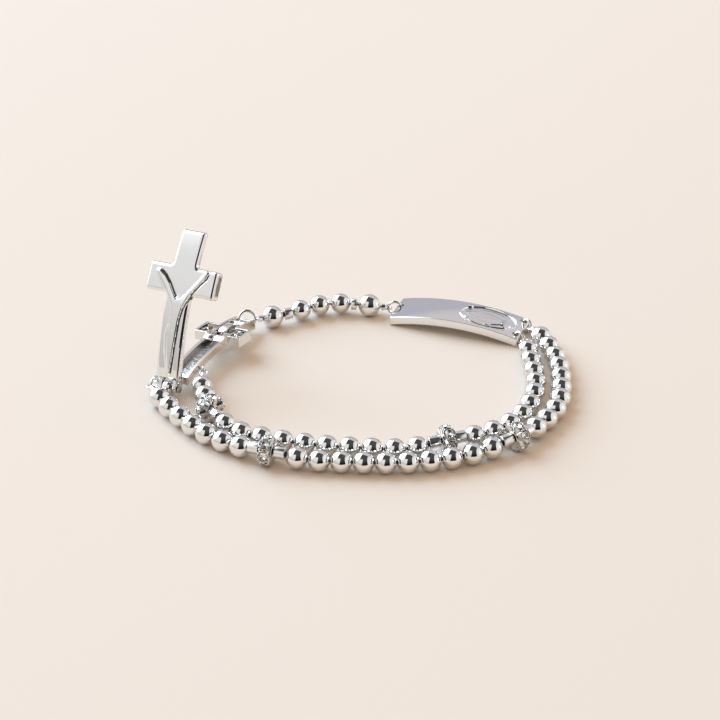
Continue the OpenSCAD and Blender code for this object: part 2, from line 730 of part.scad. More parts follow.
// Hinge pin with a flat head at each end
head_t = 0.25;
head_d = 1.5;
head_play = 0.1;
pin_l = 2 * ear_span[1] + 0.4;
module hinge_pin() {
    color("silver") translate(shift) in_clasp() {
        rotate([90, 0, 0]) cylinder(h = pin_l, d = pin_d, center = true);
        for (side = [-1, 1]) translate([0, side * (ear_span[1] + head_play + head_t / 2), 0])
            rotate([90, 0, 0]) cylinder(h = head_t, d = head_d, center = true);
    }
}

outer_beads();
inner_beads();
back_beads();
outer_tubes();
inner_tubes();
back_tubes();
outer_thread();
inner_thread();
back_wire();
crystal_setting_1();
crystal_setting_2();
crystal_setting_3();
crystal_setting_4();
crystal_stones_1();
crystal_stones_2();
crystal_stones_3();
crystal_stones_4();
end_eye_1();
end_eye_2();
end_eye_3();
end_eye_4();
end_eye_5();
end_eye_6();
jump_ring_1();
jump_ring_2();
jump_ring_3();
jump_ring_4();
tip_ring();
id_bar();
clasp_base();
clasp_lid();
hinge_pin();
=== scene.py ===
"""Rosary bracelet in polished silver-coloured metal, lying open on a pale surface.

Two strands of round beads run from the hinge end of a cross clasp to an arched
identity bar, and a short strand of beads joins the bar to the clasp's tip.
"""

import math

import bmesh
import bpy
import numpy as np
from mathutils import Matrix, Vector


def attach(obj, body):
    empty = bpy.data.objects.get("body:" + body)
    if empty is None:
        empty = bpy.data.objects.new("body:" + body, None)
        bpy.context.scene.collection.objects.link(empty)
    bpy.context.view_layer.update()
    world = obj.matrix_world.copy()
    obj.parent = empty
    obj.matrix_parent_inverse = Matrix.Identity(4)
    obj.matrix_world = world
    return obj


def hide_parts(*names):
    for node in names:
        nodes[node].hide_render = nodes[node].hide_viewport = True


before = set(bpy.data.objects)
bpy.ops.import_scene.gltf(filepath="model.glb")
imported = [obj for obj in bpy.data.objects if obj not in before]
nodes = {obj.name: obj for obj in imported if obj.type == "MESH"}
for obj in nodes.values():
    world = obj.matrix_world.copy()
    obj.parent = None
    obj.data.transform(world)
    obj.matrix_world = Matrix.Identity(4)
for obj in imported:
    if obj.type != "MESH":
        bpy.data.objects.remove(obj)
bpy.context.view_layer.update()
MM = 0.001

# View. The photograph looks along +Y from about thirty degrees above the
# surface, with a long lens half a metre away, at a point inside the loop.
VIEW_TARGET = Vector((0.18, 10.45, 0)) * MM
VIEW_RISE = math.radians(29.66)
VIEW_AWAY = 500 * MM
VIEW_ANGLE = math.radians(16.0)
SENSOR = 36

camera = bpy.data.objects.new("camera", bpy.data.cameras.new("camera"))
bpy.context.collection.objects.link(camera)
camera.location = VIEW_TARGET + VIEW_AWAY * Vector((0, -math.cos(VIEW_RISE), math.sin(VIEW_RISE)))
camera.rotation_euler = (math.pi / 2 - VIEW_RISE, 0, 0)
camera.data.sensor_width = SENSOR
camera.data.lens = SENSOR / 2 / math.tan(VIEW_ANGLE / 2)
camera.data.clip_start = 0.01
camera.data.clip_end = 20
bpy.context.scene.camera = camera
bpy.context.scene.view_settings.view_transform = "Standard"

# Surface. A matt sheet of pale card, larger than the view on all sides,
# with a faint mottle in its tone and a fine tooth.
SURFACE_TONES = (0.815, 0.78, 0.728), (0.83, 0.795, 0.743)
SURFACE_SIZE = 6
SURFACE_DROP = 0.00004


class Wire:
    """One output socket in a node tree, with arithmetic that adds Math nodes."""

    def __init__(self, tree, socket=None):
        self.tree = tree
        self.socket = socket

    def node(self, kind, settings=None, output=0, **sockets):
        """Adds a node: its settings first, then its sockets by name, or by number as in0."""
        made = self.tree.nodes.new(kind)
        for name, value in (settings or {}).items():
            setattr(made, name, value)
        for name, value in sockets.items():
            key = int(name[2:]) if name[2:].isdigit() else name.replace("_", " ")
            if isinstance(value, Wire):
                self.tree.links.new(value.socket, made.inputs[key])
            else:
                made.inputs[key].default_value = value
        return Wire(self.tree, made.outputs[output])

    def math(self, operation, *values):
        numbered = {f"in{i}": value for i, value in enumerate(values)}
        return self.node("ShaderNodeMath", {"operation": operation}, **numbered)

    def step(self, low, high):
        """0 below low, 1 above high, and a smooth rise between them; low may be the higher."""
        if low > high:
            return 1 - self.step(high, low)
        return self.node(
            "ShaderNodeMapRange", {"interpolation_type": "SMOOTHSTEP"}, in0=self, in1=low, in2=high
        )

    def blend(self, first, second):
        """The first colour where this is 0 and the second where it is 1."""
        ends = {
            key: end if isinstance(end, Wire) else (*end, 1)
            for key, end in (("in6", first), ("in7", second))
        }
        return self.node("ShaderNodeMix", {"data_type": "RGBA"}, output=2, in0=self, **ends)

    def to(self, shader, name):
        self.tree.links.new(self.socket, shader.inputs[name])

    def __add__(self, other):
        return self.math("ADD", self, other)

    def __radd__(self, other):
        return self.math("ADD", other, self)

    def __sub__(self, other):
        return self.math("SUBTRACT", self, other)

    def __rsub__(self, other):
        return self.math("SUBTRACT", other, self)

    def __mul__(self, other):
        return self.math("MULTIPLY", self, other)

    def __rmul__(self, other):
        return self.math("MULTIPLY", other, self)


def blank(name):
    """A new material: itself, its shader and a loose wire to start its nodes from."""
    made = bpy.data.materials.new(name)
    made.use_nodes = True
    return made, made.node_tree.nodes["Principled BSDF"], Wire(made.node_tree)


surface_mat, shader, wire = blank("pale_card")
spot = wire.node("ShaderNodeTexCoord", output=3)
cloud = wire.node("ShaderNodeTexNoise", Vector=spot, Scale=5.0, Detail=2.0)
tooth = wire.node("ShaderNodeTexNoise", Vector=spot, Scale=2400.0, Detail=2.0)
cloud.blend(*SURFACE_TONES).to(shader, "Base Color")
wire.node("ShaderNodeBump", in0=0.05, in1=0.0001, Height=tooth).to(shader, "Normal")
shader.inputs["Roughness"].default_value = 0.8
shader.inputs["Specular IOR Level"].default_value = 0.15

bpy.ops.object.select_all(action="DESELECT")
bpy.ops.mesh.primitive_plane_add(size=SURFACE_SIZE, location=(0, 0, -SURFACE_DROP))
surface = bpy.context.object
surface.name = "pale_card"
surface.data.materials.append(surface_mat)

# Room. Grey and white walls with a glow at the upper left, a dark ceiling and a dark
# photographer's side, all mirrored by the metal. Scattered rays meet a warm fill
# instead, strongest from above. A large cool soft box lights from the back left.
WALL_BACK_FOOT = (0.50, 0.44, 0.40)
WALL_BACK_LOW = (0.50, 0.50, 0.57)
WALL_BACK_HIGH = (0.66, 0.63, 0.64)
WALL_FRONT_LOW = (0.61, 0.59, 0.57)
WALL_FRONT_HIGH = (0.87, 0.87, 0.86)
WALL_RIGHT = (0.92, 0.92, 0.94)
GLOW = (1.4, 1.4, 1.4)
GLOW_WAY = Vector((-0.70, 0.42, 0.56)).normalized()
FILL_BEHIND = (0.793, 0.586, 0.436)
FILL_FRONT = (0.568, 0.42, 0.312)
FILL_AT_HORIZON, FILL_RISE = 0.2, 1.2
DARK_LOW = (0.018, 0.015, 0.014)
DARK_HIGH = (0.075, 0.073, 0.070)

world = bpy.data.worlds.new("room")
bpy.context.scene.world = world
world.use_nodes = True
sky = Wire(world.node_tree)
ray = sky.node("ShaderNodeTexCoord", output=0)
east, north, up = (
    sky.node("ShaderNodeSeparateXYZ", output=axis, Vector=ray) for axis in range(3)
)
wall = up.step(0.12, 0.26).blend(WALL_BACK_FOOT, WALL_BACK_LOW)
wall = up.step(0.42, 0.52).blend(wall, WALL_BACK_HIGH)
wall_front = up.step(0.0, 0.6).blend(WALL_FRONT_LOW, WALL_FRONT_HIGH)
wall = north.step(0.25, -0.1).blend(wall, wall_front)
wall = east.step(0.62, 0.8).blend(wall, WALL_RIGHT)
near_glow = east * GLOW_WAY.x + north * GLOW_WAY.y + up * GLOW_WAY.z
wall = near_glow.step(0.74, 0.88).blend(wall, GLOW)
right_end = (east + 0.14 * up).step(0.72, 0.68)
behind_camera = (east - 0.27 * up).step(-0.37, -0.33) * right_end * north.step(-0.2, -0.25)
ceiling = (
    (east - 0.46 * north).step(-0.47, -0.43)
    * (north + 0.38 * east).step(-0.51, -0.47)
    * (north + 0.24 * east).step(0.50, 0.46)
    * right_end
    * up.step(0.35, 0.45)
)
dark = behind_camera.math("MAXIMUM", behind_camera, ceiling)
dark_tone = up.step(0.2, 0.9).blend(DARK_LOW, DARK_HIGH)
backdrop = world.node_tree.nodes["Background"]
bounces = sky.node("ShaderNodeLightPath", output="Diffuse Depth")
scattered = bounces.math("MINIMUM", bounces, 1)
fill = (north * -0.5 + 0.5).blend(FILL_BEHIND, FILL_FRONT)
scattered.blend(dark.blend(wall, dark_tone), fill).to(backdrop, "Color")
(1 + scattered * (up * FILL_RISE + (FILL_AT_HORIZON - 1))).to(backdrop, "Strength")


def soft_box(name, direction, away, size, power, tint):
    """An area light that faces the middle of the view from a direction."""
    lamp = bpy.data.lights.new(name, "AREA")
    lamp.shape = "RECTANGLE"
    lamp.size, lamp.size_y = size
    lamp.energy = power
    lamp.color = tint
    made = bpy.data.objects.new(name, lamp)
    bpy.context.collection.objects.link(made)
    aim = Vector(direction).normalized()
    made.location = VIEW_TARGET + aim * away
    made.rotation_euler = aim.to_track_quat("Z", "Y").to_euler()


soft_box(
    "key_box", direction=(-0.62, 0.53, 0.56), away=2.4, size=(2.0, 2.0), power=69.3, tint=(0.636, 0.828, 1)
)
soft_box(
    "side_strip", direction=(1, 0.0, 0.17), away=1.2, size=(0.10, 0.45), power=0.5, tint=(1, 1, 1)
)

# Round beads. Balls of polished steel, drilled through, with the mouth of each
# hole rolled in. They sit side by side on three threads, almost touching; the two
# ends of the short back strand are a little larger.
BEAD_METAL = (0.87, 0.86, 0.84)
BEAD_R = 2.0
BEAD_SWELL = 1.025
MOUTH_AT = 0.974
MOUTH_ROLL = ((0.96, 0.994), (0.95, 0.985))
THREADS = {"outer": "outer_thread", "inner": "inner_thread", "back": "back_wire"}


def polished_metal(name, tint, shade=0.94, rough=0.035, swell=0.03, swell_size=420.0):
    """Bright metal: a tone that drifts a little, hairline scratches and a faint swell."""
    made, shader, wire = blank(name)
    spot = wire.node("ShaderNodeTexCoord", output=3)
    cloud = wire.node("ShaderNodeTexNoise", Vector=spot, Scale=170.0, Detail=3.0)
    hairs = wire.node("ShaderNodeTexNoise", Vector=spot, Scale=3200.0, Detail=2.0, Roughness=0.7)
    waves = wire.node("ShaderNodeTexNoise", Vector=spot, Scale=swell_size, Detail=1.0)
    cloud.blend([c * shade for c in tint], tint).to(shader, "Base Color")
    (rough * (0.5 + cloud * 0.6 + hairs * 0.4)).to(shader, "Roughness")
    wire.node("ShaderNodeBump", in0=swell, in1=0.0004, Height=waves + hairs * 0.05).to(shader, "Normal")
    shader.inputs["Metallic"].default_value = 1
    return made


def take(*pieces):
    """Selects these pieces alone, the first one active."""
    bpy.ops.object.select_all(action="DESELECT")
    for piece in pieces:
        piece.select_set(True)
    bpy.context.view_layer.objects.active = pieces[0]


def start(name):
    """Names the primitive just added and opens it in edit mode."""
    piece = bpy.context.object
    piece.name = piece.data.name = name
    take(piece)
    bpy.ops.object.transform_apply(location=True, rotation=True, scale=True)
    bpy.ops.object.mode_set(mode="EDIT")
    return piece


def pick(piece, kind, test):
    """In edit mode, selects the vertices, edges or faces whose middle, in mm, passes the test."""
    bpy.ops.mesh.select_mode(type=kind)
    bpy.ops.mesh.select_all(action="DESELECT")
    mesh = bmesh.from_edit_mesh(piece.data)
    for part in {"VERT": mesh.verts, "EDGE": mesh.edges, "FACE": mesh.faces}[kind]:
        corners = [part] if kind == "VERT" else part.verts
        if test(sum((v.co for v in corners), Vector()) / len(corners) / MM, part):
            part.select_set(True)
    mesh.select_flush_mode()
    bmesh.update_edit_mesh(piece.data)


def close_up(piece, angle=35):
    """Leaves edit mode with all faces pointing outwards, shaded smooth up to an angle."""
    bpy.ops.mesh.select_all(action="SELECT")
    bpy.ops.mesh.remove_doubles(threshold=1e-7)
    bpy.ops.mesh.normals_make_consistent(inside=False)
    bpy.ops.object.mode_set(mode="OBJECT")
    take(piece)
    bpy.ops.object.shade_smooth_by_angle(angle=math.radians(angle))


def join(name, parts):
    """Joins pieces into one mesh."""
    take(*parts)
    if len(parts) > 1:
        bpy.ops.object.join()
    made = bpy.context.object
    made.name = made.data.name = name
    return made


def copies(name, master, places):
    """A copy of the master at each place, each with its own mesh, joined into one piece."""
    made = []
    for place in places:
        one = master.copy()
        one.data = master.data.copy()
        one.data.transform(place)
        bpy.context.collection.objects.link(one)
        made.append(one)
    return join(name, made)


def dress(piece, material):
    """Gives a piece this finish alone."""
    piece.data.materials.clear()
    piece.data.materials.append(material)


def finish(piece, material, stands_for=(), body="bracelet"):
    """Gives a piece its finish and its body, and hides the nodes it stands for."""
    dress(piece, material)
    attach(piece, body)
    if stands_for:
        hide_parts(*stands_for)


def lumps(node):
    """The corners of each loose solid of a node, in metres."""
    mesh = bmesh.new()
    mesh.from_mesh(nodes[node].data)
    bmesh.ops.remove_doubles(mesh, verts=mesh.verts, dist=1e-7)
    seen, found = set(), []
    for corner in mesh.verts:
        if corner in seen:
            continue
        seen.add(corner)
        todo, lump = [corner], []
        while todo:
            at = todo.pop()
            lump.append(at.co[:])
            fresh = [e.other_vert(at) for e in at.link_edges]
            fresh = [v for v in fresh if v not in seen]
            seen.update(fresh)
            todo += fresh
        found.append(np.array(lump))
    mesh.free()
    return found


def on_thread(lump, thread, reach=2.6):
    """The place of a threaded solid: its middle, with z along the thread that runs through it."""
    middle = (lump.min(axis=0) + lump.max(axis=0)) / 2
    near = np.array([v.co for v in nodes[thread].data.vertices]) - middle
    near = near[np.linalg.norm(near, axis=1) < reach * MM]
    way = Vector(np.linalg.svd(near - near.mean(axis=0))[2][0])
    turn = Matrix.Rotation(math.atan2(way.y, way.x), 4, "Z") @ Matrix.Rotation(math.acos(way.z), 4, "Y")
    return Matrix.Translation(middle) @ turn


bpy.ops.mesh.primitive_uv_sphere_add(segments=48, ring_count=36, radius=BEAD_R * MM)
bead = start("bead")
pick(bead, "VERT", lambda at, _: abs(at.z) > MOUTH_AT * BEAD_R)
bpy.ops.mesh.delete(type="VERT")
pick(bead, "EDGE", lambda _, edge: edge.is_boundary)
for squeeze, sink in MOUTH_ROLL:
    bpy.ops.mesh.extrude_edges_move()
    bpy.ops.transform.resize(value=(squeeze, squeeze, sink))
bpy.ops.mesh.bridge_edge_loops()
close_up(bead, 60)

bead_metal = polished_metal("bead_metal", BEAD_METAL)
for strand, thread in THREADS.items():
    places = []
    for lump in lumps(f"{strand}_beads"):
        place = on_thread(lump, thread)
        size = np.linalg.norm(lump - np.array(place.translation), axis=1).max() / (BEAD_R * MM)
        places.append(place @ Matrix.Scale(size * BEAD_SWELL, 4))
    beads = copies(f"{strand}_round_beads", bead, places)
    finish(beads, bead_metal, [f"{strand}_beads"])
bpy.data.objects.remove(bead)

# Tube spacers. Short lengths of polished tube with their rims turned over, one
# on each side of a rondelle, and two odd ones in the back strand.
TUBE_R = 1.15
TUBE_L = 2.0
TUBE_RIM = 0.1
BORE_R = 0.55


def drilled_rod(name, radius, length, rim):
    """A short rod bored through along z, its rims rounded, in object mode."""
    bpy.ops.mesh.primitive_cylinder_add(vertices=48, radius=radius * MM, depth=length * MM)
    rod = start(name)
    pick(rod, "EDGE", lambda at, _: abs(at.z) > 0.49 * length)
    bpy.ops.mesh.bevel(offset=rim * MM, segments=4, profile=0.5)
    pick(rod, "FACE", lambda _, face: len(face.verts) > 40)
    bpy.ops.mesh.inset(thickness=(radius - rim - BORE_R) * MM)
    bpy.ops.mesh.delete(type="FACE")
    pick(rod, "EDGE", lambda _, edge: edge.is_boundary)
    bpy.ops.mesh.bridge_edge_loops()
    close_up(rod, 40)
    return rod


tube = drilled_rod("tube", TUBE_R, TUBE_L, TUBE_RIM)
tube_metal = polished_metal("tube_metal", (0.86, 0.85, 0.84), rough=0.2, swell=0.06)
for strand, thread in THREADS.items():
    places = []
    for lump in lumps(f"{strand}_tubes"):
        place = on_thread(lump, thread)
        along = np.array(place.to_3x3().col[2])
        length = 2 * np.abs((lump - np.array(place.translation)) @ along).max()
        places.append(place @ Matrix.Scale(length / (TUBE_L * MM), 4, (0, 0, 1)))
    tubes = copies(f"{strand}_tube_spacers", tube, places)
    finish(tubes, tube_metal, [f"{strand}_tubes"])
bpy.data.objects.remove(tube)

# Threads. Fine stranded steel wire, seen only as dark slivers between the
# beads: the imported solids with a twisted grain.
wire_steel, shader, wire = blank("stranded_steel")
spot = wire.node("ShaderNodeTexCoord", output=3)
lay = wire.node(
    "ShaderNodeTexWave", {"bands_direction": "DIAGONAL"}, Vector=spot, Scale=1800.0, Distortion=1.5
)
lay.blend((0.16, 0.155, 0.15), (0.42, 0.41, 0.40)).to(shader, "Base Color")
(0.3 + lay * 0.15).to(shader, "Roughness")
wire.node("ShaderNodeBump", in0=0.4, in1=0.00005, Height=lay).to(shader, "Normal")
shader.inputs["Metallic"].default_value = 1
for thread in THREADS.values():
    dress(nodes[thread], wire_steel)

# Rondelles. A drilled hub with six round cups soldered about it, each with a
# rolled rim, four grains raised over the stone's edge and a pair of grains in
# every gap between the cups.
STONES = 6
RONDELLE_R = 2.75
CUP_FOOT_R, CUP_R = 1.062, 1.18
CUP_TOP, CUP_DEPTH = 2.41, 1.8
CUP_LEDGES = ((0.14, 0.16), (0.16, 0.4))
CUP_EDGE = 0.06
GRAIN_R, GRAINS_AT = 0.2, 1.0
GAP_GRAIN_R, GAP_GRAINS_AT = 0.25, 0.72
STONE_R = 0.9
HUB_R = 1.25
HUB_W = 2.4
HUB_RIM = 0.25

hub = drilled_rod("hub", HUB_R, HUB_W, HUB_RIM)
bpy.ops.mesh.primitive_cylinder_add(
    vertices=32, radius=CUP_FOOT_R * MM, depth=CUP_DEPTH * MM, location=(0, 0, (CUP_TOP - CUP_DEPTH / 2) * MM)
)
cup = start("cup")
pick(cup, "FACE", lambda at, face: len(face.verts) > 4 and at.z > 2)
bpy.ops.transform.resize(value=(CUP_R / CUP_FOOT_R, CUP_R / CUP_FOOT_R, 1))
for width, sink in CUP_LEDGES:
    bpy.ops.mesh.inset(thickness=width * MM)
    bpy.ops.mesh.extrude_region_move(TRANSFORM_OT_translate={"value": (0, 0, -sink * MM)})
bpy.ops.transform.resize(value=(0.6, 0.6, 1))
pick(cup, "EDGE", lambda at, edge: abs(at.z - CUP_TOP) < 0.01 and at.xy.length > 0.9)
bpy.ops.mesh.bevel(offset=CUP_EDGE * MM, segments=3, profile=0.5)
close_up(cup, 40)

grains = []
for k in range(4):
    turn = math.radians(45 + 90 * k)
    bpy.ops.mesh.primitive_uv_sphere_add(
        segments=12, ring_count=8, radius=GRAIN_R * MM,
        location=Vector((GRAINS_AT * math.cos(turn), GRAINS_AT * math.sin(turn), CUP_TOP + 0.06)) * MM,
    )
    grain = start("grain")
    bpy.ops.transform.resize(value=(1, 1, 1.25))
    close_up(grain, 60)
    grains.append(grain)
cup_with_grains = join("cup_with_grains", [cup, *grains])

bpy.ops.mesh.primitive_uv_sphere_add(segments=12, ring_count=8, radius=GAP_GRAIN_R * MM)
gap_grain = start("gap_grain")
close_up(gap_grain, 60)

sixth = 2 * math.pi / STONES
outwards = Matrix.Rotation(math.pi / 2, 4, "Y")
cups = copies(
    "cups", cup_with_grains, [Matrix.Rotation(k * sixth, 4, "Z") @ outwards for k in range(STONES)]
)
between = copies(
    "gap_grains", gap_grain,
    [
        Matrix.Rotation((k + 0.5) * sixth, 4, "Z") @ Matrix.Translation(((CUP_TOP - 0.14) * MM, 0, side * MM))
        for k in range(STONES) for side in (-GAP_GRAINS_AT, GAP_GRAINS_AT)
    ],
)
setting = join("setting", [hub, cups, between])
for master in (cup_with_grains, gap_grain):
    bpy.data.objects.remove(master)

# Stones. Colourless round brilliants: a table, crown facets in two rows, a thin
# girdle and a pointed pavilion, all cut flat. A hull round rings of corners gives
# these facets: each ring has a number of corners, a radius, a depth and a turn.
TABLE_CORNERS, TABLE_SHARE = 8, 0.56
FACET_RINGS = (
    (8, 0.79, 0.165, 22.5),
    (16, 1.0, 0.3, 11.25),
    (16, 1.0, 0.36, 11.25),
    (8, 0.22, 0.73, 0),
    (8, 0.03, 0.84, 0),
)

bpy.ops.mesh.primitive_circle_add(vertices=TABLE_CORNERS, radius=STONE_R * TABLE_SHARE * MM)
stone = start("brilliant")
for corners, share, depth, turn in FACET_RINGS:
    bpy.ops.mesh.primitive_circle_add(
        vertices=corners, radius=STONE_R * share * MM, location=(0, 0, -depth * MM),
        rotation=(0, 0, math.radians(turn)),
    )
bpy.ops.mesh.select_all(action="SELECT")
bpy.ops.mesh.convex_hull(
    join_triangles=True, face_threshold=math.radians(3), shape_threshold=math.radians(90)
)
close_up(stone, 1)
on_rim = Matrix.Translation((RONDELLE_R * MM, 0, 0)) @ outwards
ring_of_stones = copies(
    "ring_of_stones", stone, [Matrix.Rotation(k * sixth, 4, "Z") @ on_rim for k in range(STONES)]
)
bpy.data.objects.remove(stone)

setting_metal = polished_metal("setting_metal", (0.77, 0.735, 0.695), shade=0.82, rough=0.09, swell=0.1)
crystal, shader, wire = blank("crystal")
spot = wire.node("ShaderNodeTexCoord", output=3)
haze = wire.node("ShaderNodeTexNoise", Vector=spot, Scale=900.0, Detail=1.0)
haze.blend((0.92, 0.86, 0.80), (0.99, 0.945, 0.89)).to(shader, "Base Color")
(haze * 0.02).to(shader, "Roughness")
shader.inputs["Transmission Weight"].default_value = 1
shader.inputs["IOR"].default_value = 1.9

for number, thread, turn in (
    (1, "outer_thread", 30), (2, "outer_thread", 0), (3, "inner_thread", 12), (4, "inner_thread", 30)
):
    place = on_thread(np.concatenate(lumps(f"crystal_setting_{number}")), thread)
    place = place @ Matrix.Rotation(math.radians(turn), 4, "Z")
    held = copies(f"rondelle_setting_{number}", setting, [place])
    finish(held, setting_metal, [f"crystal_setting_{number}"])
    shown = copies(f"rondelle_stones_{number}", ring_of_stones, [place])
    finish(shown, crystal, [f"crystal_stones_{number}"])
for master in (setting, ring_of_stones):
    bpy.data.objects.remove(master)

# Findings. Round wire closed with solder: the end eyes with their crimps, the
# jump rings, the larger ring at the clasp's tip and the headed hinge pin. The
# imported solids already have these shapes.
findings_metal = polished_metal(
    "findings_metal", (0.83, 0.805, 0.775), rough=0.06, swell=0.06, swell_size=900.0
)
for name, node in nodes.items():
    if name.startswith(("end_eye", "jump_ring", "tip_ring", "hinge_pin")):
        dress(node, findings_metal)

# Identity bar. A thick plate cut square, rolled to the curve of the wrist and
# slightly crowned, polished all over, with a ring hole at one end and two at the
# other, each over a pocket in the underside. The plate is worked flat, then curved.
BAR_L, BAR_W, BAR_T = 26.7, 8.75, 1.8
BAR_SAG = 1.7
BAR_CROWN = 0.16
BAR_CORNER, BAR_EDGE = 0.5, 0.14
BAR_CURVE = (BAR_L / 2) ** 2 / (2 * BAR_SAG) + BAR_SAG / 2
BAR_PLACE = Matrix.Translation(Vector((20.01, 24.12, 0)) * MM) @ Matrix.Rotation(math.radians(-20), 4, "Z")
RING_HOLES = ((12.5, -2.8), (12.5, 2.8), (-12.5, 0.5))
HOLE_R = 0.65
POCKET_L, POCKET_W, POCKET_TOP = 3.2, 2.6, 1.16
POCKET_PAST_HOLE = 0.7


def climb(edge):
    """How much higher one end of an edge lies than the other, in mm."""
    return abs(edge.verts[0].co.z - edge.verts[1].co.z) / MM


def onto_curve(piece, curve, top, middle=0.0):
    """Lays a flat piece on an arch of a radius: height is kept as thickness above the arch."""
    for corner in piece.data.vertices:
        reach = curve + corner.co.z / MM
        corner.co.z = (top - curve + math.sqrt(reach**2 - (corner.co.x / MM - middle) ** 2)) * MM


def cut(piece, cutter):
    """Takes a cutter's shape out of a piece and removes the cutter."""
    take(piece)
    modifier = piece.modifiers.new("cut", "BOOLEAN")
    modifier.object = cutter
    modifier.operation = "DIFFERENCE"
    modifier.solver = "EXACT"
    bpy.ops.object.modifier_apply(modifier=modifier.name)
    bpy.data.objects.remove(cutter)


def slice_along(piece, axis, stops):
    """In edit mode, cuts a piece into strips by planes across an axis."""
    for stop in stops:
        place = Vector((0, 0, 0))
        place[axis] = stop * MM
        way = Vector((0, 0, 0))
        way[axis] = 1
        bpy.ops.mesh.select_all(action="SELECT")
        bpy.ops.mesh.bisect(plane_co=place, plane_no=way)


bpy.ops.mesh.primitive_cube_add(size=MM, location=(0, 0, BAR_T / 2 * MM))
bar = start("identity_bar")
bpy.ops.transform.resize(value=(BAR_L, BAR_W, BAR_T))
pick(bar, "EDGE", lambda _, edge: climb(edge) > 1)
bpy.ops.mesh.bevel(offset=BAR_CORNER * MM, segments=6, profile=0.5)
pick(bar, "EDGE", lambda _, edge: climb(edge) < 0.001)
bpy.ops.mesh.bevel(offset=BAR_EDGE * MM, segments=4, profile=0.5)
slice_along(bar, 0, [x * 0.6 for x in range(-21, 22)])
slice_along(bar, 1, [y * 0.5 for y in range(-8, 9)])
close_up(bar, 30)
for corner in bar.data.vertices:
    across = corner.co.y / (BAR_W / 2 * MM)
    if corner.co.z > BAR_T / 2 * MM:
        corner.co.z -= BAR_CROWN * across**2 * MM
onto_curve(bar, BAR_CURVE, BAR_SAG)
for x, y in RING_HOLES:
    bpy.ops.mesh.primitive_cylinder_add(
        vertices=32, radius=HOLE_R * MM, depth=12 * MM, location=(x * MM, y * MM, 0)
    )
    cut(bar, bpy.context.object)
    bpy.ops.mesh.primitive_cube_add(
        size=MM, location=((x + math.copysign(POCKET_PAST_HOLE, x)) * MM, y * MM, 0),
        scale=(POCKET_L, POCKET_W, 2 * POCKET_TOP),
    )
    cut(bar, bpy.context.object)

# Medallion on the bar. A low oval field, struck in one with the bar: a rolled rim,
# soft raised strokes like the folds of a robe between two sprays, and small bosses.
OVAL_AT = 6.1
OVAL_L, OVAL_W = 12.0, 7.4
FIELD_CELLS = 150, 92
RIM_W, RIM_RISE = 0.45, 0.3
STROKE_W, STROKE_RISE = 0.24, 0.075
BOSS_RISE = 0.24
STROKES = (
    ((-4.3, 0.2), (-2.6, 1.1), (0.2, 1.0), (2.8, 0.3), (4.4, 0.2)),
    ((-4.0, -0.5), (-2.0, -0.9), (0.6, -0.5), (2.8, -0.3), (4.2, -0.4)),
    ((-2.8, 0.3), (-0.6, 0.2), (1.8, 0.1), (3.4, -0.1)),
    ((-1.6, 1.9), (0.4, 2.2), (2.2, 1.8), (3.2, 1.2)),
    ((-1.8, -1.9), (0.2, -2.2), (2.0, -1.9), (3.1, -1.3)),
    ((-3.4, 1.7), (-2.6, 2.0), (-1.9, 1.5)),
    ((-3.4, -1.6), (-2.7, -2.0), (-2.0, -1.6)),
    ((0.1, -2.9), (1.6, -2.1), (2.9, -1.2)),
)
BOSSES = ((3.3, -1.3, 0.34), (3.9, -2.4, 0.32), (-4.4, 2.2, 0.36), (-4.0, -2.3, 0.34), (4.9, -1.3, 0.26))


def hump(value, width):
    """A smooth hump: 1 where a value is zero, fading out over a width on both sides."""
    return np.exp(-((value / width) ** 2))


def away_from(points, line):
    """The distance of each point, in mm, from a line of straight pieces."""
    best = np.full(len(points), 99.0)
    for a, b in zip(np.array(line[:-1]), np.array(line[1:])):
        run = b - a
        share = np.clip(((points - a) @ run) / (run @ run), 0, 1)
        best = np.minimum(best, np.linalg.norm(points - a - share[:, None] * run, axis=1))
    return best


bpy.ops.mesh.primitive_grid_add(
    x_subdivisions=FIELD_CELLS[0], y_subdivisions=FIELD_CELLS[1], size=MM, location=(OVAL_AT * MM, 0, 0)
)
medallion = start("medallion")
bpy.ops.transform.resize(value=(OVAL_L, OVAL_W, 1))
pick(
    medallion, "FACE",
    lambda at, _: ((at.x - OVAL_AT) / (OVAL_L / 2 - 0.05)) ** 2 + (at.y / (OVAL_W / 2 - 0.05)) ** 2 > 1,
)
bpy.ops.mesh.delete(type="FACE")
bpy.ops.mesh.select_all(action="SELECT")
bpy.ops.mesh.extrude_region_move(TRANSFORM_OT_translate={"value": (0, 0, 0.3 * MM)})
close_up(medallion, 40)
flat = np.array([corner.co[:2] for corner in medallion.data.vertices]) / MM - (OVAL_AT, 0)
ratio = np.sqrt((flat[:, 0] / (OVAL_L / 2)) ** 2 + (flat[:, 1] / (OVAL_W / 2)) ** 2)
slope = np.hypot(flat[:, 0] / (OVAL_L / 2) ** 2, flat[:, 1] / (OVAL_W / 2) ** 2) / np.maximum(ratio, 0.01)
inside = (1 - ratio) / np.maximum(slope, 0.05)
round_rim = np.arctan2(flat[:, 1] / OVAL_W, flat[:, 0] / OVAL_L)
rim_rise = RIM_RISE + 0.09 * np.sin(5 * round_rim + 0.6) + 0.08 * np.sin(round_rim)
height = rim_rise * hump(inside - RIM_W / 2 - 0.03, 0.2) + 0.05 * hump(inside - 0.85, 0.1)
for line in STROKES:
    height += STROKE_RISE * hump(away_from(flat, line), STROKE_W)
height += 0.1 * hump(np.hypot((flat[:, 0] + 4.4) / 0.5, flat[:, 1] / 0.45), 1)
for x, y, spread in BOSSES:
    height += BOSS_RISE * hump(np.hypot(flat[:, 0] - x, flat[:, 1] - y), spread)
crown = BAR_CROWN * (flat[:, 1] / (BAR_W / 2)) ** 2
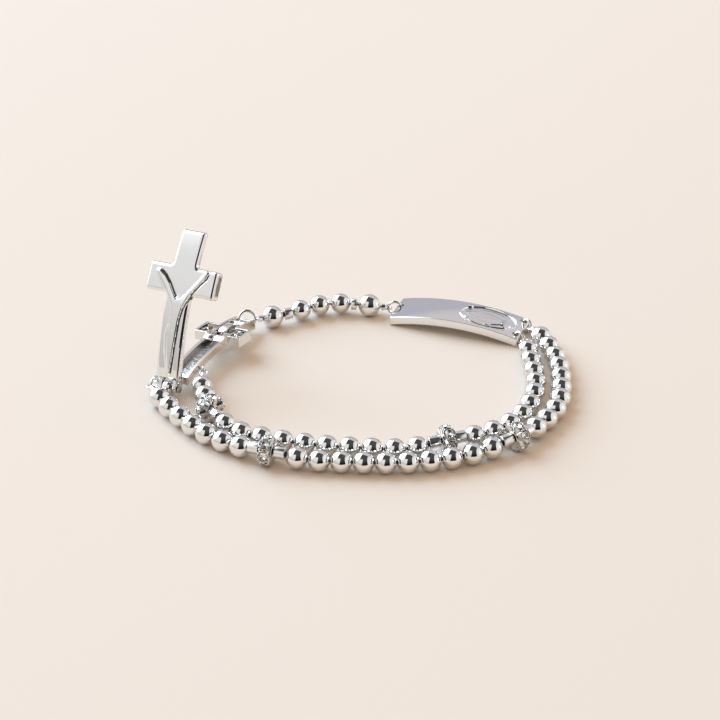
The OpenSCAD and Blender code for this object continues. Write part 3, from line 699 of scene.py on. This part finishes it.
for corner, rise, sink in zip(medallion.data.vertices, height, crown):
    upper = corner.co.z > 0.15 * MM
    corner.co.z = (BAR_T - sink + (rise - 0.02 if upper else -0.25)) * MM
onto_curve(medallion, BAR_CURVE, BAR_SAG)
bar = join("identity_bar", [bar, medallion])
bar.data.transform(BAR_PLACE)
bar_metal = polished_metal("bar_metal", (0.88, 0.875, 0.87), rough=0.03, swell=0.02, swell_size=260.0)
finish(bar, bar_metal, ["id_bar"])

# Clasp lid. A cast cross, arched along its length, with softly rounded edges, a
# rim under its outline and a slotted wall under each arm. A slim figure with
# raised arms, in the old simplified manner, stands a little proud of the face.
HINGE_AT = Vector((-35.92, -3.95, 2.2))
CLASP_TURN, CLASP_LEAN, LID_OPEN = math.radians(62.8), math.radians(-3), math.radians(-60.8)
CLASP = (
    Matrix.Translation(HINGE_AT * MM)
    @ Matrix.Rotation(CLASP_TURN, 4, "Z")
    @ Matrix.Rotation(CLASP_LEAN, 4, "X")
)
LID = CLASP @ Matrix.Rotation(LID_OPEN, 4, "Y")
LID_FROM, LID_TO, LID_HALF = 1.4, 30.1, 2.6
ARMS_AT, ARMS_HALF, LID_REACH = 20.46, 2.73, 7.375
LID_MIDDLE, LID_TOP, LID_CURVE = 15.76, 3.53, 58.18
LID_EDGE, LID_CORNER, LID_FILLET = 0.7, 0.5, 0.6
CELL = 0.1
WALL_T, WALL_H, SLOT_RIM = 0.8, 1.6, 0.3
EAR_R, EAR_T, EAR_AT = 1.3, 0.7, 1.5
KNUCKLE_ROOM_R, KNUCKLE_ROOM_HALF = 1.9, 1.15
# The lid's finishes: polished metal, a darker rough metal whose dark tone is painted shade in the hollows,
# and a near-black metal painted as shade in the deep cuts.
POLISHED, ROUGH_SHADED, SHADED_CUT = range(3)
FIGURE = (
    (22.0, 5.25), (21.95, 4.5), (21.1, 3.5), (19.6, 2.1), (18.2, 1.15), (17.2, 0.45), (16.75, 0.0),
    (17.0, -0.75), (17.9, -1.55), (19.1, -2.45), (20.9, -3.7), (22.6, -4.75), (23.0, -5.15),
    (22.6, -5.5), (21.5, -5.15), (20.1, -4.0), (18.3, -2.75), (16.5, -1.95), (15.4, -1.5), (13.1, -1.1),
    (9.5, -0.95), (5.9, -0.75), (2.6, -0.5), (2.5, 0.1), (5.0, 0.7), (7.0, 1.15), (10.0, 1.4),
    (12.2, 0.9), (15.1, 1.15), (16.1, 1.6), (18.4, 3.15), (20.7, 5.05), (21.5, 5.5),
)
DEEP_CUTS = (
    ((21.75, 4.3), (21.0, 3.25), (19.6, 1.95), (18.2, 1.0), (17.3, 0.25)),
    ((22.3, -5.6), (21.4, -5.3), (20.0, -4.15), (18.2, -2.9), (16.4, -2.1), (15.2, -1.6),
     (13.1, -1.22), (9.5, -1.07), (5.9, -0.87), (2.9, -0.6)),
)
FINE_CUTS = (
    ((20.9, -3.95), (19.1, -2.8), (17.4, -1.7), (16.2, -0.9), (14.5, -0.45), (11.0, -0.2)),
    ((17.0, 1.9), (15.2, 0.75), (12.3, 0.45), (10.2, 0.8), (7.0, 0.55), (4.6, 0.3)),
    ((17.0, -2.3), (13.5, -2.25), (8.0, -2.2)),
)


def inside_box(points, middle, half, corner):
    """How far points lie inside a rectangle with round corners, negative outside."""
    q = np.abs(points - middle) - half + corner
    return corner - np.linalg.norm(np.maximum(q, 0), axis=1) - np.minimum(q.max(axis=1), 0)


def inside_lid(points):
    """How far points lie inside the outline of the cross, its inner corners filleted."""
    shaft = -inside_box(points, ((LID_FROM + LID_TO) / 2, 0), ((LID_TO - LID_FROM) / 2, LID_HALF), LID_CORNER)
    arms = -inside_box(points, (ARMS_AT, 0), (ARMS_HALF, LID_REACH), LID_CORNER)
    round_in = np.hypot(np.maximum(LID_FILLET - shaft, 0), np.maximum(LID_FILLET - arms, 0))
    return round_in - np.maximum(LID_FILLET, np.minimum(shaft, arms))


def inside_shape(points, outline):
    """How far points lie inside a closed outline, negative outside."""
    odd = np.zeros(len(points), bool)
    for (x1, y1), (x2, y2) in zip(outline, outline[1:] + outline[:1]):
        if y1 != y2:
            crosses = (y1 > points[:, 1]) != (y2 > points[:, 1])
            odd ^= crosses & (points[:, 0] < (x2 - x1) * (points[:, 1] - y1) / (y2 - y1) + x1)
    return np.where(odd, 1, -1) * away_from(points, outline + outline[:1])


def ease(value, low, high):
    """0 at low, 1 at high, and a smooth rise between them; low may be the higher."""
    share = np.clip((value - low) / (high - low), 0, 1)
    return share * share * (3 - 2 * share)


# A flat grid is cut to the outline, its rim drawn onto the true line, and made solid.
bpy.ops.mesh.primitive_grid_add(
    x_subdivisions=round((LID_TO - LID_FROM) / CELL), y_subdivisions=round(2 * LID_REACH / CELL), size=MM,
    location=((LID_FROM + LID_TO) / 2 * MM, 0, 0),
)
lid = start("cross_lid")
bpy.ops.transform.resize(value=(LID_TO - LID_FROM, 2 * LID_REACH, 1))
bpy.ops.object.mode_set(mode="OBJECT")
outside = inside_lid(np.array([face.center[:2] for face in lid.data.polygons]) / MM) < 0
bpy.ops.object.mode_set(mode="EDIT")
pick(lid, "FACE", lambda _, face: outside[face.index])
bpy.ops.mesh.delete(type="FACE")
mesh = bmesh.from_edit_mesh(lid.data)
rim = [corner for corner in mesh.verts if corner.is_boundary]
spots = np.array([corner.co[:2] for corner in rim]) / MM
nudge = 0.01
for _ in range(4):
    depth = inside_lid(spots)
    slope = np.stack([inside_lid(spots + step) - depth for step in ((nudge, 0), (0, nudge))], axis=1) / nudge
    spots -= slope * (depth / np.maximum((slope**2).sum(axis=1), 0.3))[:, None]
for corner, spot in zip(rim, spots):
    corner.co.xy = spot * MM
bmesh.update_edit_mesh(lid.data)
bpy.ops.mesh.select_all(action="SELECT")
bpy.ops.mesh.extrude_region_move(TRANSFORM_OT_translate={"value": (0, 0, -MM)})
close_up(lid, 40)
flat = np.array([corner.co[:2] for corner in lid.data.vertices]) / MM
deep = inside_lid(flat)
fall = np.maximum(LID_EDGE - np.maximum(deep, 0), 0)
upper = np.sqrt(np.maximum(LID_EDGE**2 - fall**2, 0)) - LID_EDGE
figure = inside_shape(flat, FIGURE)
upper += 0.2 * ease(figure, -0.1, 0.14) + 0.12 * ease(figure, 0.05, 0.8)
for lines, depth, width in ((DEEP_CUTS, 0.2, 0.17), (FINE_CUTS, 0.07, 0.11)):
    for line in lines:
        upper -= depth * hump(away_from(flat, line), width)
upper += 0.16 * hump(np.hypot((flat[:, 0] - 17.0) / 0.55, (flat[:, 1] + 0.1) / 0.5), 1)
on_end = np.abs(flat[:, 1]) > LID_REACH - 0.85
lower = -0.8 - 0.4 * ease(deep, 0.4, 0.3) * ~on_end
for corner, top, under in zip(lid.data.vertices, upper, lower):
    corner.co.z = (under if corner.co.z < -0.5 * MM else top) * MM
onto_curve(lid, LID_CURVE, LID_TOP, LID_MIDDLE)
for corner in lid.data.vertices:
    x, y, z = corner.co / MM
    if abs(y) < KNUCKLE_ROOM_HALF and x < KNUCKLE_ROOM_R and x * x + z * z < KNUCKLE_ROOM_R**2:
        corner.co.z = math.sqrt(KNUCKLE_ROOM_R**2 - x * x) * MM

lid_parts = [lid]
for side in (-1, 1):
    bpy.ops.mesh.primitive_cube_add(
        size=MM, location=(ARMS_AT * MM, side * (LID_REACH - WALL_T / 2 - 0.005) * MM, -1.5 * MM),
        scale=(2 * ARMS_HALF - 0.02, WALL_T, WALL_H),
    )
    wall = start("arm_wall")
    pick(wall, "FACE", lambda _, face: abs(face.normal.y) > 0.9)
    bpy.ops.mesh.inset(thickness=SLOT_RIM * MM, use_individual=True)
    bpy.ops.transform.resize(value=(0.74, 1, 1))
    bpy.ops.mesh.delete(type="FACE")
    pick(wall, "EDGE", lambda _, edge: edge.is_boundary)
    bpy.ops.mesh.bridge_edge_loops()
    pick(wall, "EDGE", lambda at, edge: climb(edge) > 1.5 and abs(at.y) > LID_REACH - 0.1)
    bpy.ops.mesh.bevel(offset=0.42 * MM, segments=5, profile=0.5)
    pick(wall, "EDGE", lambda _, edge: len(edge.link_faces) == 2 and edge.calc_face_angle(0) > 0.6)
    bpy.ops.mesh.bevel(offset=0.07 * MM, segments=3, profile=0.5)
    slice_along(wall, 0, [ARMS_AT - 2 + 0.5 * k for k in range(9)])
    close_up(wall, 35)
    onto_curve(wall, LID_CURVE, LID_TOP, LID_MIDDLE)
    lid_parts.append(wall)

    bpy.ops.mesh.primitive_cylinder_add(
        vertices=40, radius=EAR_R * MM, depth=EAR_T * MM, location=(0, side * EAR_AT * MM, 0),
        rotation=(math.pi / 2, 0, 0),
    )
    ear = start("hinge_ear")
    pick(ear, "EDGE", lambda at, _: abs(at.xz.length - EAR_R) < 0.05 and abs(abs(at.y) - EAR_AT) > 0.3)
    bpy.ops.mesh.bevel(offset=0.1 * MM, segments=3, profile=0.5)
    close_up(ear, 35)
    bpy.ops.mesh.primitive_cube_add(
        size=MM, location=(1.35 * MM, side * EAR_AT * MM, 0.75 * MM), scale=(2.3, 0.66, 1.1)
    )
    web = start("ear_web")
    bpy.ops.mesh.select_all(action="SELECT")
    bpy.ops.mesh.bevel(offset=0.08 * MM, segments=3, profile=0.5)
    close_up(web, 35)
    lid_parts += [ear, web]
lid = join("cross_lid", lid_parts)
lid.data.transform(LID)
lid_metal = polished_metal("lid_metal", (0.87, 0.865, 0.86), rough=0.04, swell=0.025, swell_size=240.0)
finish(lid, lid_metal, ["clasp_lid"], "lid")
# Darker rough metal: the rough cast finish is real, but its dark tone is painted shade for hollows.
cast_shade_metal = polished_metal(
    "cast_shade_metal", (0.355, 0.335, 0.31), shade=0.8, rough=0.3, swell=0.3, swell_size=1500.0
)
# Near-black metal: painted shade in the bottoms of the deep cuts.
groove_shade_metal = polished_metal(
    "groove_shade_metal", (0.13, 0.12, 0.11), shade=0.8, rough=0.3, swell=0.2, swell_size=1500.0
)
lid.data.materials.append(cast_shade_metal)
lid.data.materials.append(groove_shade_metal)
middles = np.array([LID.inverted() @ face.center for face in lid.data.polygons]) / MM
facing = np.array([LID.to_3x3().inverted() @ face.normal for face in lid.data.polygons])[:, 2]
# Upward faces in the deep cuts take the near-black metal as painted shade.
painted_groove_shade = np.min([away_from(middles[:, :2], line) for line in DEEP_CUTS], axis=0) < 0.13
# Downward faces inside the hollow take the darker rough metal: a rough cast finish with painted shade in its
# tone.
shaded_hollow_side = (facing < -0.5) & (middles[:, 0] > 2.5) & (np.abs(middles[:, 1]) < LID_REACH - 0.4)
for face, in_groove_shade, in_hollow_shade in zip(lid.data.polygons, painted_groove_shade & (facing > 0), shaded_hollow_side):
    face.material_index = SHADED_CUT if in_groove_shade else ROUGH_SHADED if in_hollow_shade else POLISHED

# Clasp base. An arched open tray in the form of a cross: a low channel that rises
# over two sloping shoulders to a deeper head with hollow arms, a sprung tongue over
# the opening in its floor, a ring bar at the tip, a ball knuckle and soldered loops.
BASE_FROM, BASE_TO, BASE_HALF, BASE_REACH = 3.0, 29.4, 2.15, 5.05
BASE_H, BASE_WALL = 2.1, 0.5
INNER = BASE_HALF - BASE_WALL
BASE_MIDDLE, BASE_TOP, BASE_CURVE = 14.7, 2.75, 55.02
HEAD_FROM, HEAD_TO = ARMS_AT - 2.45, ARMS_AT + 2.45
CHANNEL_DROP = 0.5
POST_R = 0.38
KNUCKLE_R, KNUCKLE_HALF = 1.7, 1
LOOP_R, LOOP_WIRE, STEM_R = 0.75, 0.5, 0.24
TIP_BAR_R = 0.4


def cross_plate(name, xs, ys, low, high):
    """A flat cross: its shaft runs from xs[0] to xs[3], and its arms from ys[0] to ys[3]."""
    bpy.ops.mesh.primitive_grid_add(x_subdivisions=3, y_subdivisions=3, size=3 * MM)
    plate = start(name)
    pick(plate, "FACE", lambda at, _: abs(at.x) > 0.7 and abs(at.y) > 0.7)
    bpy.ops.mesh.delete(type="FACE")
    for corner in bmesh.from_edit_mesh(plate.data).verts:
        column, row = (round(c / MM + 1.5) for c in corner.co.xy)
        corner.co = Vector((xs[column], ys[row], low)) * MM
    bpy.ops.mesh.select_all(action="SELECT")
    bpy.ops.mesh.extrude_region_move(TRANSFORM_OT_translate={"value": (0, 0, (high - low) * MM)})
    return plate


def box(name, low, high, round_off=0.0):
    """A block between two corners in mm, its edges rounded off, in object mode."""
    low, high = Vector(low), Vector(high)
    bpy.ops.mesh.primitive_cube_add(size=MM, location=(low + high) / 2 * MM, scale=high - low)
    block = start(name)
    if round_off:
        bpy.ops.mesh.select_all(action="SELECT")
        bpy.ops.mesh.bevel(offset=round_off * MM, segments=3, profile=0.5)
    close_up(block, 35)
    return block


tray = cross_plate(
    "clasp_tray", (BASE_FROM, HEAD_FROM, HEAD_TO, BASE_TO), (-BASE_REACH, -BASE_HALF, BASE_HALF, BASE_REACH),
    -BASE_H, 0,
)
pick(tray, "EDGE", lambda _, edge: climb(edge) > 1)
bpy.ops.mesh.bevel(offset=0.22 * MM, segments=4, profile=0.5)
close_up(tray, 35)
hollow = cross_plate(
    "hollow", (17.9, HEAD_FROM + BASE_WALL, HEAD_TO - BASE_WALL, BASE_TO - 3.4),
    (-BASE_REACH + BASE_WALL, -INNER, INNER, BASE_REACH - BASE_WALL), BASE_WALL - BASE_H, 1,
)
pick(hollow, "EDGE", lambda _, edge: climb(edge) > 1)
bpy.ops.mesh.bevel(offset=0.12 * MM, segments=3, profile=0.5)
close_up(hollow, 35)
cut(tray, hollow)
channel = (BASE_FROM + 1, -INNER + 0.15, BASE_WALL - BASE_H), (HEAD_FROM - 1.9, INNER - 0.15, 1)
slit = (HEAD_FROM - 2.5, -0.16, -1.3), (HEAD_FROM + 0.5, 0.16, 1)
window = (ARMS_AT - 1.6, -1.15, -3), (ARMS_AT + 1.6, 1.15, 1)
open_tip = (BASE_TO - 2.9, -INNER, -3), (BASE_TO + 0.5, INNER, 1)
for low, high in (channel, slit, window, open_tip):
    cut(tray, box("hollow", low, high))
take(tray)
bpy.ops.object.mode_set(mode="EDIT")
slice_along(tray, 0, [BASE_FROM + 0.6 * k for k in range(1, 44)])
pick(tray, "EDGE", lambda at, edge: at.z > -0.01 and edge.calc_face_angle(0) > 0.8)
bpy.ops.mesh.bevel(offset=0.11 * MM, segments=3, profile=0.5)
pick(tray, "EDGE", lambda at, edge: at.z < 0.01 - BASE_H and edge.calc_face_angle(0) > 0.8)
bpy.ops.mesh.bevel(offset=0.1 * MM, segments=2, profile=0.5)
close_up(tray, 35)
for corner in tray.data.vertices:
    x, y, z = corner.co / MM
    low = CHANNEL_DROP * (1 - ease(np.array(x), HEAD_FROM - 1.7, HEAD_FROM - 0.3))
    if z > -1:
        corner.co.z -= low * MM

dividers = [
    box("divider", (HEAD_FROM + 0.2, y - 0.2, -BASE_H + 0.3), (HEAD_TO - 0.2, y + 0.2, -0.5), 0.08)
    for y in (-INNER - 0.25, INNER + 0.25)
]
tongue = box("tongue", (ARMS_AT - 0.4, -0.85, -0.55), (BASE_TO - 3.1, 0.85, -0.3), 0.05)
take(tongue)
bpy.ops.object.mode_set(mode="EDIT")
slice_along(tongue, 0, [ARMS_AT + 0.4 * k for k in range(16)])
close_up(tongue, 35)
for corner in tongue.data.vertices:
    share = (corner.co.x / MM - ARMS_AT + 0.4) / (BASE_TO - 2.7 - ARMS_AT)
    corner.co.z += (1.0 * math.sin(math.pi * share) - 0.7 * share) * MM
posts = []
for x, y in ((HEAD_FROM + 0.45, 0.85), (HEAD_FROM + 0.45, -0.75), (ARMS_AT, -2.9)):
    bpy.ops.mesh.primitive_uv_sphere_add(
        segments=20, ring_count=12, radius=POST_R * MM, location=(x * MM, y * MM, -1.0 * MM)
    )
    post = start("post")
    bpy.ops.transform.resize(value=(1, 1, 1.6))
    close_up(post, 60)
    posts.append(post)
base_parts = [tray, *dividers, tongue, *posts]
for piece in base_parts:
    onto_curve(piece, BASE_CURVE, BASE_TOP, BASE_MIDDLE)

bpy.ops.mesh.primitive_uv_sphere_add(segments=48, ring_count=32, radius=KNUCKLE_R * MM)
knuckle = start("knuckle")
for side in (-1, 1):
    bpy.ops.mesh.select_all(action="SELECT")
    bpy.ops.mesh.bisect(
        plane_co=(0, side * KNUCKLE_HALF * MM, 0), plane_no=(0, side, 0), use_fill=True, clear_outer=True
    )
pick(
    knuckle, "EDGE",
    lambda at, edge: abs(abs(at.y) - KNUCKLE_HALF) < 0.01 and edge.calc_face_angle(0) > 0.4,
)
bpy.ops.mesh.bevel(offset=0.12 * MM, segments=3, profile=0.5)
close_up(knuckle, 35)
neck = box("neck", (0, -0.85, -1.1), (BASE_FROM + 0.6, 0.85, 0.4), 0.15)
base_parts += [knuckle, neck]
for middle, root, turn in (
    ((1.5, 3.45, 0.1), (3.3, 1.8, 0.1), (0, 0, 0)),
    ((7.5, -3.05, 0.5), (8.3, -1.8, 0.5), (math.pi / 2, 0, math.radians(-147))),
):
    middle, root = Vector(middle), Vector(root)
    bpy.ops.mesh.primitive_torus_add(
        major_segments=40, minor_segments=14, major_radius=LOOP_R * MM, minor_radius=LOOP_WIRE / 2 * MM,
        location=middle * MM, rotation=turn,
    )
    loop = start("soldered_loop")
    close_up(loop, 60)
    way = middle - root
    length = way.length - LOOP_R
    bpy.ops.mesh.primitive_cylinder_add(
        vertices=20, radius=STEM_R * MM, depth=length * MM,
        location=(root + way.normalized() * length / 2) * MM, rotation=way.to_track_quat("Z", "Y").to_euler(),
    )
    stem = start("stem")
    close_up(stem, 40)
    base_parts += [loop, stem]
bpy.ops.mesh.primitive_cylinder_add(
    vertices=28, radius=TIP_BAR_R * MM, depth=(2 * BASE_HALF - 0.3) * MM,
    location=((BASE_TO - TIP_BAR_R) * MM, 0, 0.2 * MM), rotation=(math.pi / 2, 0, 0),
)
tip_bar = start("tip_bar")
close_up(tip_bar, 40)
base = join("clasp_tray", [*base_parts, tip_bar])
base.data.transform(CLASP)
base_metal = polished_metal(
    "base_metal", (0.865, 0.84, 0.81), shade=0.9, rough=0.07, swell=0.06, swell_size=600.0
)
finish(base, base_metal, ["clasp_base"])
# The floor of the low channel takes the darker rough metal: a rough cast finish with its dark tone painted as
# shade in the recess.
base.data.materials.append(cast_shade_metal)
for face in base.data.polygons:
    at = CLASP.inverted() @ face.center / MM
    floor = BASE_TOP - BASE_H + BASE_WALL - (at.x - BASE_MIDDLE) ** 2 / (2 * BASE_CURVE)
    if BASE_FROM + 0.9 < at.x < HEAD_FROM - 1.9 and abs(at.y) < 1.55 and abs(at.z - floor) < 0.35:
        face.material_index = ROUGH_SHADED
